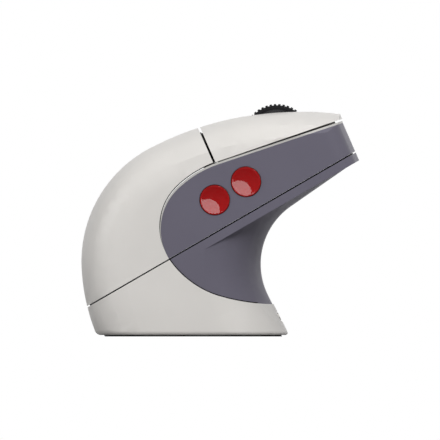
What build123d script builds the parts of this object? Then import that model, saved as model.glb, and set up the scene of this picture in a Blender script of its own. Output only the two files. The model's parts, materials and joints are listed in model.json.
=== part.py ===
from build123d import *
from math import acos, asin, atan2, cos, pi, radians, sin, sqrt, tan
import os

# Ergonomic gaming mouse. Millimetres, +Z up, +X is the front, y = 0 is the middle plane.

# Overall envelope, read from the side
HALF_WIDTH = 31.0
WALL = 2.0
SLATE_STEP = 0.4                  # the slate covers lie this far inside the white shells
CROWN_CENTRE = (31.9, -39.75)     # centre of the long front arc of the back line
CROWN_RADIUS = 129.75
HUMP_RADIUS = 51.2                # tighter arc over the hump
HEEL_RADIUS = 81.1                # flatter arc down the back
HUMP_START = radians(117.4)       # where the front arc hands over to the hump arc
HEEL_START = radians(182.9)       # where the hump arc hands over to the heel arc
SHOULDER = (17.0, 0.80, 0.60)     # depth of the rounding into the sides, fullness across and down
BAND_DEPTH = 40.0                 # depth of the curved band that is revolved
CORE_DEPTH = 18.0                 # the straight-sided core starts this deep
CROWN_REACH = 62.0                # the back line is carried this far forward, past the nose
OUTER_FLATS = 6                   # flats per quarter of the outer section, fine enough to shade smooth
INNER_FLATS = 3                   # flats per quarter of the hidden inner section

# Nose, parting plane and neck
NOSE_POINT = (52.2, 79.4)
NOSE_LEAN = radians(23.5)
NOSE_TAPER_START = 56.0
NOSE_TAPER_RADIUS = 348.0
NOSE_CORNER = 9.0
NOSE_BOW = 2.7
PARTING_SLOPE = radians(30)
PARTING_HEIGHT = 42.5
PARTING_GAP = 0.35                # shadow line between the upper and the lower covers
NECK_CENTRE = (44.4, 29.0)
NECK_RADIUS = 27.7
NECK_CORNER = (23.0, 0.62, 0.50)  # depth of the rounding behind the neck front, fullness
LIP_POINT = (54.7, 69.9)
FLARE_POINT = (27.3, 1.4)

# Sole
SOLE = 0.6                        # the skates lift the body by this much
PLATE = 1.6
LEDGE, LEDGE_WIDTH = 1.2, 2.5
PLATE_FIT = 0.1

# Slate outline, slit and gaps, read from the side
DECK_SLOPE = radians(18.4)        # the top edge of the slate, and the deck under the buttons
SEAM_START = (-0.31, 69.0)        # where the slate's straight top edge turns into the arcs round its back
SEAM_ARCS = [(43.7, radians(25.5)), (22.5, radians(83.7)), (37.2, radians(36.5)), (80.1, radians(16.2))]
RIM_SHIFT = (-0.3, 0.75)          # the frame's light rim is the slate outline moved by this much
RIM_GAP_SHIFT = (-0.55, 1.25)     # and the white shells start at the outline moved by this much
RIM_WIDTH = 3.4
SLIT_TOP = (-8.5, 83.8)
SLIT_FOOT = (-2.5, 70.1)
SLIT = 0.9
CENTRE_SPLIT = 0.8
BULKHEAD = 2.0
SEAL = 0.45                       # foam strip in the slit, this far under the surface
SEAL_DEPTH = 2.0

# Buttons
BUTTON_WALL = 1.8
BUTTON_GAP_REAR = 0.35
BUTTON_GAP_FRONT = 0.95
HINGE = (-1.0, 77.0)
PIN_RADIUS = 1.0
PIN_FIT = 0.06
EAR_RADIUS = 2.5
EAR_PLACES = (10.2, 17.0)         # inner face of each ear, from the middle
EAR_WIDTH = 1.8
POST_Y, POST_WIDTH = 12.3, 4.4    # the post between a button's two ears
PIN_HALF = 19.2

# Inner frame, switch board, scroll wheel: u runs up the deck, w stands on it, from the wheel centre
WHEEL = (22.8, 79.4)
RIM_INSET = 0.35
DECK_PLATE = 2.0
BOARD = 1.2
SWITCH_U, SWITCH_Y, SWITCH_HEIGHT, SWITCH_WIDTH = 1.0, 12.7, 5.2, 5.8
SWITCH_BACK, SWITCH_AHEAD = 9.5, 3.3   # body length behind and ahead of its plunger
MIDDLE_U, MIDDLE_SWITCH_HEIGHT = -17.4, 3.4
CONTACT_GAP = 0.1
TYRE_RADIUS, TYRE_WIDTH, TOOTH_HEIGHT, WHEEL_TEETH = 13.6, 8.0, 0.5, 48
HUB_RADIUS, HUB_WIDTH = 11.6, 7.0
TOOTH_SHARE = 0.55
WHEEL_SLOT, WHEEL_GAP = 27.0, 0.9
WHEEL_WELL = 14.6
AXLE_RADIUS, AXLE_FIT = 1.2, 0.06
CARRIER_U, CARRIER_W = 16.0, -0.3
CARRIER_POST_Y, CARRIER_PIN_HALF = 6.9, 8.6
CHEEK, CHEEK_OUTSIDE, EYE = 1.4, 6.6, 1.9
ENCODER_Y = 9.4
CABLE_U = -21.3
FRAME_FIT = 0.1

# Side buttons
SIDE_BUTTONS = {"rear": (-2.1, 54.6), "front": (10.4, 61.9)}
SIDE_RADIUS, SIDE_GAP, SIDE_SLOPE = 5.9, 0.3, 30.0
CAP_PROUD = 0.35                  # beyond the slate surface
CAP_LENGTH = 4.3
DISH_RADIUS, DISH_DEPTH = 5.5, 1.1
TAB_LENGTH, TAB_WIDTH, TAB = 14.8, 7.8, 1.2
STEM = 3.0
SIDE_BOARD = (36.0, 11.0)
SIDE_BOARD_DEPTH = 6.3            # from the inside of the wall to the side board
SIDE_BOARD_POST = 15.5
TACT = 6.0                        # square tact switch
SIDE_TACT_HEIGHT = 2.7
NUB, NUB_RISE, NUB_LENGTH = 2.6, 0.5, 1.3
NUB_FIT = 0.05

# Things on the sole and the main board
SCREW_X = (-37.0, 11.0)
SCREW_INSET = 9.5                 # from the side of the mouse to the screws
SCREW_RADIUS, SCREW_LENGTH, BOSS_RADIUS, BOSS_HEIGHT = 1.2, 8.0, 3.0, 9.0
SCREW_HEAD_RADIUS, SCREW_HEAD_HEIGHT, SCREW_SINK = 2.2, 0.8, 0.3
BOARD_POSTS = [(-37, 12), (-37, -12), (-14, 15), (-14, -15)]
BOARD_Z = 5.2
BOARD_BACK, BOARD_FRONT, BOARD_TONGUE = -40.0, 16.0, 21.0
MODE_SIZE = 4.8
SOCKET_FRONT = 23.2
SOCKET_LENGTH, SOCKET_WIDTH, SOCKET_HEIGHT = 7.1, 9.0, 3.2
SOCKET_SHELL, SOCKET_FIT = 0.35, 0.2
SENSOR_X = -6.0
SENSOR_WINDOW = (9.0, 7.0)
SLIDE_X, SLIDE_Y = 10.0, 12.0
SLIDE_LENGTH, SLIDE_WIDTH, SLIDE_TRAVEL = 4.0, 4.2, 2.5
MODE_X, MODE_Y = 10.0, -12.0
CABLE_Y, CABLE_WIDTH, CABLE = -12.0, 8.0, 0.3
SKATE_INSET, SKATE_WIDTH = 0.8, 5.2
SKATE_SPLIT, SKATE_GAP, SKATE_SKEW = -10.0, 1.5, 10.0
KEY_FIT = 0.2

BIG = 160.0


def polar(centre, radius, angle):
    return (centre[0] + radius * cos(angle), centre[1] + radius * sin(angle))


HUMP_CENTRE = polar(CROWN_CENTRE, CROWN_RADIUS - HUMP_RADIUS, HUMP_START)
HEEL_CENTRE = polar(HUMP_CENTRE, HUMP_RADIUS - HEEL_RADIUS, HEEL_START)
CROWN_START = acos((CROWN_REACH - CROWN_CENTRE[0]) / CROWN_RADIUS)
HEEL_END = pi + asin(HEEL_CENTRE[1] / (HEEL_RADIUS - CORE_DEPTH)) + 0.02
BACK_ARCS = [(CROWN_CENTRE, CROWN_RADIUS, CROWN_START, HUMP_START),
             (HUMP_CENTRE, HUMP_RADIUS, HUMP_START, HEEL_START),
             (HEEL_CENTRE, HEEL_RADIUS, HEEL_START, HEEL_END)]


def side_prism(outline, half_width=BIG):
    """A side-view outline carried straight across the mouse."""
    return extrude(Plane.XZ * make_face(outline), half_width, both=True)


def polygon_prism(points, half_width=BIG):
    return side_prism(Polyline(*points, close=True), half_width)


def half_space(point, angle, above):
    """Everything above (or below) a plane that runs across the mouse."""
    place = Plane(origin=(point[0], 0, point[1]), x_dir=(cos(angle), 0, sin(angle)),
                  z_dir=(-sin(angle), 0, cos(angle)))
    lift = BIG if above else -BIG
    return place * Pos(0, 0, lift) * Box(4 * BIG, 2 * BIG, 2 * BIG)


parting = (0.0, PARTING_HEIGHT)
above_parting = half_space(parting, PARTING_SLOPE, True)
below_parting = half_space(parting, PARTING_SLOPE, False)


def across(start, into, rounding, inset, reach, flats):
    """Cross-section from the middle line to both sides: a quarter curve cut into flats, mirrored.

    start is the radial place of the surface, into is +1 or -1 for the side the body lies on.
    """
    depth, full_across, full_down = rounding
    half, depth = HALF_WIDTH - inset, depth - inset
    first = start + into * inset
    quarter = Bezier((first, 0), (first, full_across * half),
                     (first + into * depth * (1 - full_down), half), (first + into * depth, half))
    side = [quarter.position_at(k / flats) for k in range(flats + 1)]
    side = [(p.X, p.Y) for p in side] + [(start + into * reach, half)]
    return make_face(Polyline(*side, *[(u, -v) for u, v in reversed(side[1:])], close=True))


def radial_plane(centre, angle):
    """Plane through an axis along Y: local x points outward at the angle, local y along Y."""
    outward = Vector(cos(angle), 0, sin(angle))
    return Plane(origin=(centre[0], 0, centre[1]), x_dir=outward, z_dir=outward.cross(Vector(0, 1, 0)))


def turned(section, centre, start, end):
    axis = Axis((centre[0], 0, centre[1]), (0, -1, 0))
    return revolve(radial_plane(centre, start) * section, axis, (end - start) * 180 / pi)


def envelope(inset, flats):
    """Solid back of the mouse: three revolved bands around a straight-sided core."""
    ends = [polar(c, r - CORE_DEPTH, a) for c, r, a, b in BACK_ARCS]
    ends.append(polar(HEEL_CENTRE, HEEL_RADIUS - CORE_DEPTH, HEEL_END))
    middles = [polar(c, r - CORE_DEPTH, (a + b) / 2) for c, r, a, b in BACK_ARCS]
    arcs = [ThreePointArc(p, m, q) for p, m, q in zip(ends, middles, ends[1:])]
    body = side_prism(arcs + [Polyline(ends[-1], (CROWN_REACH, ends[-1][1]), ends[0])], HALF_WIDTH - inset)
    for centre, radius, start, end in BACK_ARCS:
        body += turned(across(radius, -1, SHOULDER, inset, BAND_DEPTH, flats), centre, start, end)
    return body


def nose(inset=0.0):
    """Plan outline of the nose, carried along the leaning nose front."""
    half = HALF_WIDTH - inset
    taper = NOSE_TAPER_RADIUS - inset
    turn = asin((NOSE_TAPER_START - NOSE_BOW - inset) / taper)
    start = (-NOSE_TAPER_START, half)
    place = Plane(origin=(NOSE_POINT[0], 0, NOSE_POINT[1]), x_dir=(cos(NOSE_LEAN), 0, sin(NOSE_LEAN)),
                  z_dir=(-sin(NOSE_LEAN), 0, cos(NOSE_LEAN)))
    half_arc, tip = [(start[0] + taper * sin(a), half - taper * (1 - cos(a))) for a in (turn / 2, turn)]
    outline = [Line((-BIG, -half), (-BIG, half)), Line((-BIG, half), start),
               ThreePointArc(start, half_arc, tip), ThreePointArc(tip, (-inset, 0), (tip[0], -tip[1])),
               ThreePointArc((tip[0], -tip[1]), (half_arc[0], -half_arc[1]), (start[0], -half)),
               Line((start[0], -half), (-BIG, -half))]
    plan = make_face(outline)
    plan = fillet(plan.vertices().group_by(Axis.X)[-1], NOSE_CORNER - inset)
    return place * extrude(plan, BIG, both=True)


def tangent_point(point, centre, radius, side):
    """Where a line from a point touches a circle."""
    dx, dz = point[0] - centre[0], point[1] - centre[1]
    turn = acos(radius / sqrt(dx * dx + dz * dz))
    return polar(centre, radius, atan2(dz, dx) + side * turn)


def neck(inset, flats, crest):
    """Lower body: one section turned about the concave neck arc and carried straight beyond it."""
    low = tangent_point(FLARE_POINT, NECK_CENTRE, NECK_RADIUS, -1)
    high = tangent_point(LIP_POINT, NECK_CENTRE, NECK_RADIUS, 1)
    start, end = [atan2(p[1] - NECK_CENTRE[1], p[0] - NECK_CENTRE[0]) % (2 * pi) for p in (high, low)]
    section = across(NECK_RADIUS, 1, NECK_CORNER, inset, BIG / 2, flats)
    body = turned(section, NECK_CENTRE, start, end)
    body += extrude(radial_plane(NECK_CENTRE, end) * section, BIG / 2, dir=(sin(-end), 0, cos(end)))
    body += extrude(radial_plane(NECK_CENTRE, start) * section, BIG / 2, dir=(sin(start), 0, -cos(start)))
    body += polygon_prism([(-70, -2), (-8, -2), (-8, 38), (-70, 38)], HALF_WIDTH - inset)
    return body & crest


def lower_body(inset):
    """Outer solid of everything below the parting plane: neck up to the crease, then the nose slab."""
    crease = half_space(LIP_POINT, PARTING_SLOPE, False)
    strip = half_space(LIP_POINT, PARTING_SLOPE, True) & below_parting & nose(inset)
    return ((neck(inset, OUTER_FLATS, crease) & nose(inset)) + strip) & envelope(inset, OUTER_FLATS)


def lower_hollow(inset):
    """Hollow of the lower body: the neck runs open into the head, the nose slab keeps a floor."""
    floor = (LIP_POINT[0], LIP_POINT[1] + WALL / cos(PARTING_SLOPE))
    strip = half_space(floor, PARTING_SLOPE, True) & below_parting & nose(inset)
    return ((neck(inset, INNER_FLATS, below_parting) & nose(inset)) + strip) & envelope(inset, INNER_FLATS)


def head(inset, flats=OUTER_FLATS):
    return envelope(inset, flats) & nose(inset)


def seam_prism(shift=(0.0, 0.0)):
    """The slate panel's outline carried across the mouse: straight on top, smooth arcs round the back."""
    heading = pi + DECK_SLOPE
    last, outline = SEAM_START, []
    for radius, turn in SEAM_ARCS:
        centre = (last[0] - radius * sin(heading), last[1] + radius * cos(heading))
        through = [polar(centre, radius, heading - pi / 2 + share * turn) for share in (0, 0.5, 1)]
        outline.append(ThreePointArc(*through))
        heading, last = heading + turn, through[-1]
    far = (CROWN_REACH, SEAM_START[1] + (CROWN_REACH - SEAM_START[0]) * tan(DECK_SLOPE))
    outline.append(Polyline(last, (CROWN_REACH, last[1]), far, SEAM_START))
    return Pos(shift[0], 0, shift[1]) * side_prism(outline)


def slit_slab(behind, ahead):
    """A layer parallel to the slit, between two distances from its middle."""
    dx, dz = SLIT_FOOT[0] - SLIT_TOP[0], SLIT_FOOT[1] - SLIT_TOP[1]
    length = sqrt(dx * dx + dz * dz)
    nx, nz = -dz / length, dx / length
    ax, az, bx, bz = SLIT_TOP[0] - 8 * dx, SLIT_TOP[1] - 8 * dz, SLIT_TOP[0] + 8 * dx, SLIT_TOP[1] + 8 * dz
    return polygon_prism([(ax + nx * behind, az + nz * behind), (bx + nx * behind, bz + nz * behind),
                          (bx + nx * ahead, bz + nz * ahead), (ax + nx * ahead, az + nz * ahead)])


def deck_line(x):
    """Height of the rim's top edge, where the buttons hover."""
    return SEAM_START[1] + RIM_SHIFT[1] + (x - SEAM_START[0] - RIM_SHIFT[0]) * tan(DECK_SLOPE)


DECK = Plane(origin=(WHEEL[0], 0, WHEEL[1]), x_dir=(cos(DECK_SLOPE), 0, sin(DECK_SLOPE)),
             z_dir=(-sin(DECK_SLOPE), 0, cos(DECK_SLOPE)))
WHEEL_PLANE = Plane(origin=(WHEEL[0], 0, WHEEL[1]), x_dir=(cos(DECK_SLOPE), 0, sin(DECK_SLOPE)),
                    z_dir=(0, -1, 0))


def to_deck(point):
    dx, dz = point[0] - WHEEL[0], point[1] - WHEEL[1]
    return (dx * cos(DECK_SLOPE) + dz * sin(DECK_SLOPE), dz * cos(DECK_SLOPE) - dx * sin(DECK_SLOPE))


def from_deck(u, w):
    return (WHEEL[0] + u * cos(DECK_SLOPE) - w * sin(DECK_SLOPE),
            WHEEL[1] + u * sin(DECK_SLOPE) + w * cos(DECK_SLOPE))


deck_w = to_deck(SEAM_START)[1]
board_top = deck_w + BOARD


def block(u0, u1, y0, y1, w0, w1):
    """A box given by its ends along the deck, across it and above it."""
    return DECK * Pos((u0 + u1) / 2, (y0 + y1) / 2, (w0 + w1) / 2) * Box(u1 - u0, y1 - y0, w1 - w0)


def bar(radius, u, w, y0, y1):
    """A round bar across the mouse."""
    return DECK * Pos(u, (y0 + y1) / 2, w) * Rot(90, 0, 0) * Cylinder(radius, y1 - y0)


def brick(x0, x1, y0, y1, z0, z1):
    return Pos((x0 + x1) / 2, (y0 + y1) / 2, (z0 + z1) / 2) * Box(x1 - x0, y1 - y0, z1 - z0)


def save(name, shape):
    export_step(shape, f"parts/{name}.step")


def save_pair(name, left):
    """A piece on the left and its mirror image on the right."""
    save(f"left_{name}", left)
    save(f"right_{name}", mirror(left, Plane.XZ))


os.makedirs("parts", exist_ok=True)

# Outer solids shared by the covers
above_gap_plane = half_space((0.0, PARTING_HEIGHT + PARTING_GAP / cos(PARTING_SLOPE)), PARTING_SLOPE, True)
slate_side = seam_prism()
rim_side = seam_prism(RIM_SHIFT)
white_edge = seam_prism(RIM_GAP_SHIFT) + slate_side
white_head = head(0.0)
behind_slit = slit_slab(-BIG, -SLIT / 2)
in_front = slit_slab(-SLIT / 2, BIG)

# Rear hump shell: open below and at the slate, closed by a bulkhead behind the slit
upper_case = (white_head - head(WALL, INNER_FLATS)) & behind_slit
upper_case += slit_slab(-SLIT / 2 - BULKHEAD, -SLIT / 2) & head(WALL / 2, INNER_FLATS)
save("upper_case", (upper_case & above_gap_plane) - white_edge)

# Slate head cover, with posts for the side boards and holes for the side buttons
head_cover = (head(SLATE_STEP) - head(SLATE_STEP + WALL, INNER_FLATS)) & slate_side & above_gap_plane
inner_wall = HALF_WIDTH - SLATE_STEP - WALL
side_board_y = inner_wall - SIDE_BOARD_DEPTH
row_x, row_z = [sum(place[axis] for place in SIDE_BUTTONS.values()) / 2 for axis in (0, 1)]
side_row = Pos(row_x, 0, row_z) * Rot(0, -SIDE_SLOPE, 0)
for side in (1, -1):
    for x, z in SIDE_BUTTONS.values():
        hole = Rot(90, 0, 0) * Cylinder(SIDE_RADIUS + SIDE_GAP, 4 * WALL)
        head_cover -= Pos(x, side * inner_wall, z) * hole
    for along in (-SIDE_BOARD_POST, SIDE_BOARD_POST):
        post = side_row * brick(along - 1.5, along + 1.5, side_board_y, inner_wall + WALL / 2, -1.5, 1.5)
        head_cover += post if side > 0 else mirror(post, Plane.XZ)
save("head_cover", head_cover)

# Lower covers
above_sole = half_space((0, SOLE), 0.0, True)
white_low, white_low_hollow = lower_body(0.0), lower_hollow(WALL)
lower_case = ((white_low - white_low_hollow) - slate_side) & above_sole
neck_cover = (lower_body(SLATE_STEP) - lower_hollow(SLATE_STEP + WALL)) & slate_side & above_sole
save("neck_cover", neck_cover)

# Click buttons: head shell in front of the slit, above a gap that opens towards the front
gap_rear = (SLIT_FOOT[0], deck_line(SLIT_FOOT[0]) + BUTTON_GAP_REAR)
gap_front = (NOSE_POINT[0], deck_line(NOSE_POINT[0]) + BUTTON_GAP_FRONT)
above_gap = half_space(gap_rear, atan2(gap_front[1] - gap_rear[1], gap_front[0] - gap_rear[0]), True)
ahead_slit = slit_slab(SLIT / 2, BIG) & brick(-BIG, BIG, CENTRE_SPLIT / 2, BIG, -BIG, BIG)
button_fill = head(BUTTON_WALL / 2, INNER_FLATS) & ahead_slit
pin_u, pin_w = to_deck(HINGE)
switch_top = board_top + SWITCH_HEIGHT
button = (white_head - head(BUTTON_WALL, INNER_FLATS)) & ahead_slit & above_gap
fittings = DECK * Pos(SWITCH_U, SWITCH_Y, switch_top + NUB_RISE + CONTACT_GAP + 10) * Box(STEM, STEM, 20)
for ear_y in EAR_PLACES:
    fittings += block(pin_u - EAR_RADIUS, pin_u + EAR_RADIUS, ear_y, ear_y + EAR_WIDTH,
                      pin_w - EAR_RADIUS, pin_w + 20)
button += fittings & button_fill
button -= bar(PIN_RADIUS + PIN_FIT, pin_u, pin_w, 0, PIN_HALF + PIN_FIT)
button -= Pos(WHEEL[0], 0, WHEEL[1]) * extrude(SlotOverall(WHEEL_SLOT, TYRE_WIDTH + 2 * WHEEL_GAP), BIG)
save_pair("button", button)
save("button_pivot_pin", bar(PIN_RADIUS, pin_u, pin_w, -PIN_HALF, PIN_HALF))
save("slit_seal", slit_slab(-SLIT / 2, -SLIT / 2 + SEAL) & head(SEAL_DEPTH, INNER_FLATS)
     & half_space((0, deck_line(0)), DECK_SLOPE, True))

# Inner frame: light rim round the slate panel, deck plate, hinge posts, carrier posts
rim = ((rim_side - slate_side) & head(RIM_INSET) & above_gap_plane) - head(RIM_WIDTH, INNER_FLATS)
plate = block(-40, 40, -BIG, BIG, deck_w - DECK_PLATE, deck_w)
inner_frame = (plate & head(SLATE_STEP + WALL + FRAME_FIT, INNER_FLATS) & in_front) + rim
for side in (1, -1):
    y0, y1 = sorted((side * POST_Y, side * (POST_Y + POST_WIDTH)))
    inner_frame += block(pin_u - 2.0, pin_u + 2.0, y0, y1, deck_w - 0.1, pin_w + 2.0)
    y0, y1 = sorted((side * CARRIER_POST_Y, side * CARRIER_PIN_HALF))
    inner_frame += block(CARRIER_U - EYE, CARRIER_U + EYE, y0, y1, deck_w - 0.1, CARRIER_W + EYE)
well = block(-WHEEL_WELL, CARRIER_U + 2.2, 0.05 - CARRIER_POST_Y, CARRIER_POST_Y - 0.05, -20, 20)
well += block(-WHEEL_WELL, WHEEL_WELL, -CARRIER_PIN_HALF, ENCODER_Y + 1.0, -20, 20)
inner_frame -= well
inner_frame -= bar(PIN_RADIUS, pin_u, pin_w, -PIN_HALF, PIN_HALF)
inner_frame -= bar(PIN_RADIUS, CARRIER_U, CARRIER_W, -CARRIER_PIN_HALF, CARRIER_PIN_HALF)
cable_slot = CABLE_WIDTH / 2 + KEY_FIT
inner_frame -= block(CABLE_U - CABLE, CABLE_U + 2 * CABLE, CABLE_Y - cable_slot, CABLE_Y + cable_slot,
                     -20, deck_w + 0.2)
save("inner_frame", inner_frame)

# Switch board, the two click switches and the one under the wheel
board_back = CABLE_U + 2 * CABLE + 0.1
save("switch_board", block(board_back, 12.0, -19, 19, deck_w, board_top) - well)


def nub(u, y, top):
    """The square plunger of a switch, standing NUB_RISE above the case."""
    return block(u - NUB / 2, u + NUB / 2, y - NUB / 2, y + NUB / 2,
                 top + NUB_RISE - NUB_LENGTH, top + NUB_RISE)


def nub_pocket(u, y, top):
    half = NUB / 2 + NUB_FIT
    return block(u - half, u + half, y - half, y + half, top - NUB_LENGTH, top + 1)


click_switch = block(SWITCH_U - SWITCH_BACK, SWITCH_U + SWITCH_AHEAD, SWITCH_Y - SWITCH_WIDTH / 2,
                     SWITCH_Y + SWITCH_WIDTH / 2, board_top, switch_top)
save_pair("switch", click_switch - nub_pocket(SWITCH_U, SWITCH_Y, switch_top))
save_pair("plunger", nub(SWITCH_U, SWITCH_Y, switch_top))
middle_top = board_top + MIDDLE_SWITCH_HEIGHT
middle_switch = block(MIDDLE_U - TACT / 2, MIDDLE_U + TACT / 2, -TACT / 2, TACT / 2, board_top, middle_top)
save("middle_switch", middle_switch - nub_pocket(MIDDLE_U, 0, middle_top))
save("middle_plunger", nub(MIDDLE_U, 0, middle_top))

# Scroll wheel: toothed tyre on its core, axle, tilting carrier, rotary encoder
tooth_arc = 2 * pi * TYRE_RADIUS / WHEEL_TEETH
tooth = Pos(TYRE_RADIUS - TOOTH_HEIGHT / 2 - 0.1, 0) * Rectangle(TOOTH_HEIGHT + 0.2, TOOTH_SHARE * tooth_arc)
ring = [Rot(0, 0, 360 / WHEEL_TEETH * k) * tooth for k in range(WHEEL_TEETH)]
tread = Circle(TYRE_RADIUS - TOOTH_HEIGHT) + ring
save("wheel_tyre", WHEEL_PLANE * extrude(tread - Circle(HUB_RADIUS), TYRE_WIDTH / 2, both=True))
hub = bar(HUB_RADIUS, 0, 0, -HUB_WIDTH / 2, HUB_WIDTH / 2)
save("wheel_hub", hub - bar(AXLE_RADIUS, 0, 0, -HUB_WIDTH, HUB_WIDTH))
save("wheel_axle", bar(AXLE_RADIUS, 0, 0, -CHEEK_OUTSIDE - 0.3, ENCODER_Y - 0.4))
bar_low = middle_top + NUB_RISE + CONTACT_GAP
bar_back, bar_front = MIDDLE_U - 1.6, MIDDLE_U + 1.6
bar_high = bar_low + 1.8
cheek = [(bar_back, bar_low), (bar_back, bar_high), (bar_front + 0.8, bar_high), (-3, 3), (3, 3),
         (CARRIER_U, CARRIER_W + EYE), (CARRIER_U + EYE, CARRIER_W), (CARRIER_U, CARRIER_W - EYE), (3, -3),
         (-3, -3), (-13.8, -1), (bar_front, bar_low)]
carrier = block(bar_back, bar_front, -CHEEK_OUTSIDE, CHEEK_OUTSIDE, bar_low, bar_high)
carrier += bar(EYE, CARRIER_U, CARRIER_W, -CHEEK_OUTSIDE, CHEEK_OUTSIDE)
for low in (-CHEEK_OUTSIDE, CHEEK_OUTSIDE - CHEEK):
    carrier += WHEEL_PLANE * Pos(0, 0, low) * extrude(make_face(Polyline(*cheek, close=True)), CHEEK)
carrier -= bar(AXLE_RADIUS + AXLE_FIT, 0, 0, -10, 10)
carrier -= bar(PIN_RADIUS + PIN_FIT, CARRIER_U, CARRIER_W, -10, 10)
save("wheel_carrier", carrier)
save("carrier_pin", bar(PIN_RADIUS, CARRIER_U, CARRIER_W, -CARRIER_PIN_HALF, CARRIER_PIN_HALF))
encoder = block(-5.5, 5.5, CHEEK_OUTSIDE, ENCODER_Y, -5.5, 5.5)
save("wheel_encoder", encoder - bar(AXLE_RADIUS + AXLE_FIT, 0, 0, 0, 20))

# Side buttons: dished caps held by a tab inside the wall, with switches and their board behind them
cap_face = HALF_WIDTH - SLATE_STEP + CAP_PROUD
tact_top = side_board_y + SIDE_TACT_HEIGHT
stem_end = tact_top + NUB_RISE + CONTACT_GAP
dish = (DISH_RADIUS ** 2 + DISH_DEPTH ** 2) / (2 * DISH_DEPTH)
for name, (x, z) in SIDE_BUTTONS.items():
    place = Pos(x, 0, z) * Rot(0, -SIDE_SLOPE, 0)
    cap = place * Pos(0, cap_face - CAP_LENGTH / 2, 0) * Rot(90, 0, 0) * Cylinder(SIDE_RADIUS, CAP_LENGTH)
    tab_top = inner_wall - 0.5
    cap += place * Pos(0, tab_top - TAB / 2, 0) * Box(TAB_WIDTH, TAB, TAB_LENGTH)
    cap += place * brick(-STEM / 2, STEM / 2, stem_end, tab_top, -STEM / 2, STEM / 2)
    cap -= Pos(x, cap_face + dish - DISH_DEPTH, z) * Sphere(dish)
    save_pair(f"{name}_side_button", cap)
    half = NUB / 2 + NUB_FIT
    tact = brick(-TACT / 2, TACT / 2, side_board_y, tact_top, -TACT / 2, TACT / 2)
    tact -= brick(-half, half, tact_top - NUB_LENGTH, BIG, -half, half)
    save_pair(f"{name}_side_switch", place * tact)
    nub_top = tact_top + NUB_RISE
    side_nub = brick(-NUB / 2, NUB / 2, nub_top - NUB_LENGTH, nub_top, -NUB / 2, NUB / 2)
    save_pair(f"{name}_side_plunger", place * side_nub)
side_board = brick(-SIDE_BOARD[0] / 2, SIDE_BOARD[0] / 2, side_board_y - BOARD, side_board_y,
                   -SIDE_BOARD[1] / 2, SIDE_BOARD[1] / 2)
save_pair("side_board", side_row * side_board)

# Sole: ledge and screw blocks inside the lower case, base plate, skates
plate_top = SOLE + PLATE
ledge = brick(-BIG, BIG, -BIG, BIG, plate_top, plate_top + LEDGE) & white_low_hollow
lower_case += ledge - lower_hollow(WALL + LEDGE_WIDTH)
screw_y = HALF_WIDTH - SCREW_INSET
screw_low = SOLE + SCREW_SINK
screws = None
bottom_plate = brick(-BIG, BIG, -BIG, BIG, SOLE, plate_top) & lower_hollow(WALL + PLATE_FIT)
for x in SCREW_X:
    for y in (screw_y, -screw_y):
        reach = sorted((y * (1 - BOSS_RADIUS / screw_y), y / screw_y * BIG))
        boss = brick(x - BOSS_RADIUS, x + BOSS_RADIUS, *reach, plate_top, plate_top + BOSS_HEIGHT)
        lower_case += boss & white_low
        lower_case -= Pos(x, y, screw_low + SCREW_LENGTH / 2) * Cylinder(SCREW_RADIUS, SCREW_LENGTH + 0.4)
        screw = Pos(x, y, screw_low + SCREW_HEAD_HEIGHT / 2) * Cylinder(SCREW_HEAD_RADIUS, SCREW_HEAD_HEIGHT)
        screw += Pos(x, y, screw_low + SCREW_LENGTH / 2) * Cylinder(SCREW_RADIUS, SCREW_LENGTH)
        screws = screw if screws is None else screws + screw
        bottom_plate -= Pos(x, y, screw_low) * Cylinder(SCREW_HEAD_RADIUS + 0.1, 2 * SCREW_HEAD_HEIGHT)
        bottom_plate -= Pos(x, y, SOLE) * Cylinder(SCREW_RADIUS, 4 * PLATE)
save("case_screws", screws)
socket_place = Pos(SOCKET_FRONT - SOCKET_LENGTH / 2, 0, BOARD_Z + BOARD + SOCKET_HEIGHT / 2) * Rot(0, 90, 0)
port_height, port_width = SOCKET_HEIGHT + 2 * SOCKET_FIT, SOCKET_WIDTH + 2 * SOCKET_FIT
port = RectangleRounded(port_height, port_width, SOCKET_HEIGHT / 2 - 0.1)
lower_case -= socket_place * extrude(port, 3 * WALL + SOCKET_LENGTH)
save("lower_case", lower_case)
bottom_plate -= brick(SENSOR_X - SENSOR_WINDOW[0] / 2, SENSOR_X + SENSOR_WINDOW[0] / 2,
                      -SENSOR_WINDOW[1] / 2, SENSOR_WINDOW[1] / 2, 0, 20)
for x, y, along, over in ((SLIDE_X, SLIDE_Y, SLIDE_LENGTH + SLIDE_TRAVEL, SLIDE_WIDTH),
                          (MODE_X, MODE_Y, MODE_SIZE, MODE_SIZE)):
    bottom_plate -= Pos(x, y, SOLE) * Box(along + 2 * KEY_FIT, over + 2 * KEY_FIT, 4 * PLATE)
for x, y in BOARD_POSTS:
    bottom_plate += brick(x - 2, x + 2, y - 2, y + 2, plate_top - 0.1, BOARD_Z)
save("bottom_plate", bottom_plate)
foot = lower_hollow(WALL + SKATE_INSET) - lower_hollow(WALL + SKATE_INSET + SKATE_WIDTH)
foot &= brick(-BIG, BIG, -BIG, BIG, 0, SOLE)
split = Pos(SKATE_SPLIT, 0, 0) * Rot(0, 0, -SKATE_SKEW)
save("front_skate", foot & (split * brick(SKATE_GAP / 2, BIG, -BIG, BIG, -1, 2)))
save("rear_skate", foot & (split * brick(-BIG, -SKATE_GAP / 2, -BIG, BIG, -1, 2)))


def sole_key(x, y, along, over, flange):
    """A key in the sole: its head stands in a hole of the base plate, its flange keeps it inside."""
    wide, deep = along + flange, over + 1
    key = brick(x - wide, x + wide, y - deep, y + deep, plate_top + 0.1, plate_top + 0.7)
    return key + brick(x - along, x + along, y - over, y + over, SOLE + KEY_FIT, plate_top + 0.2)


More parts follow.
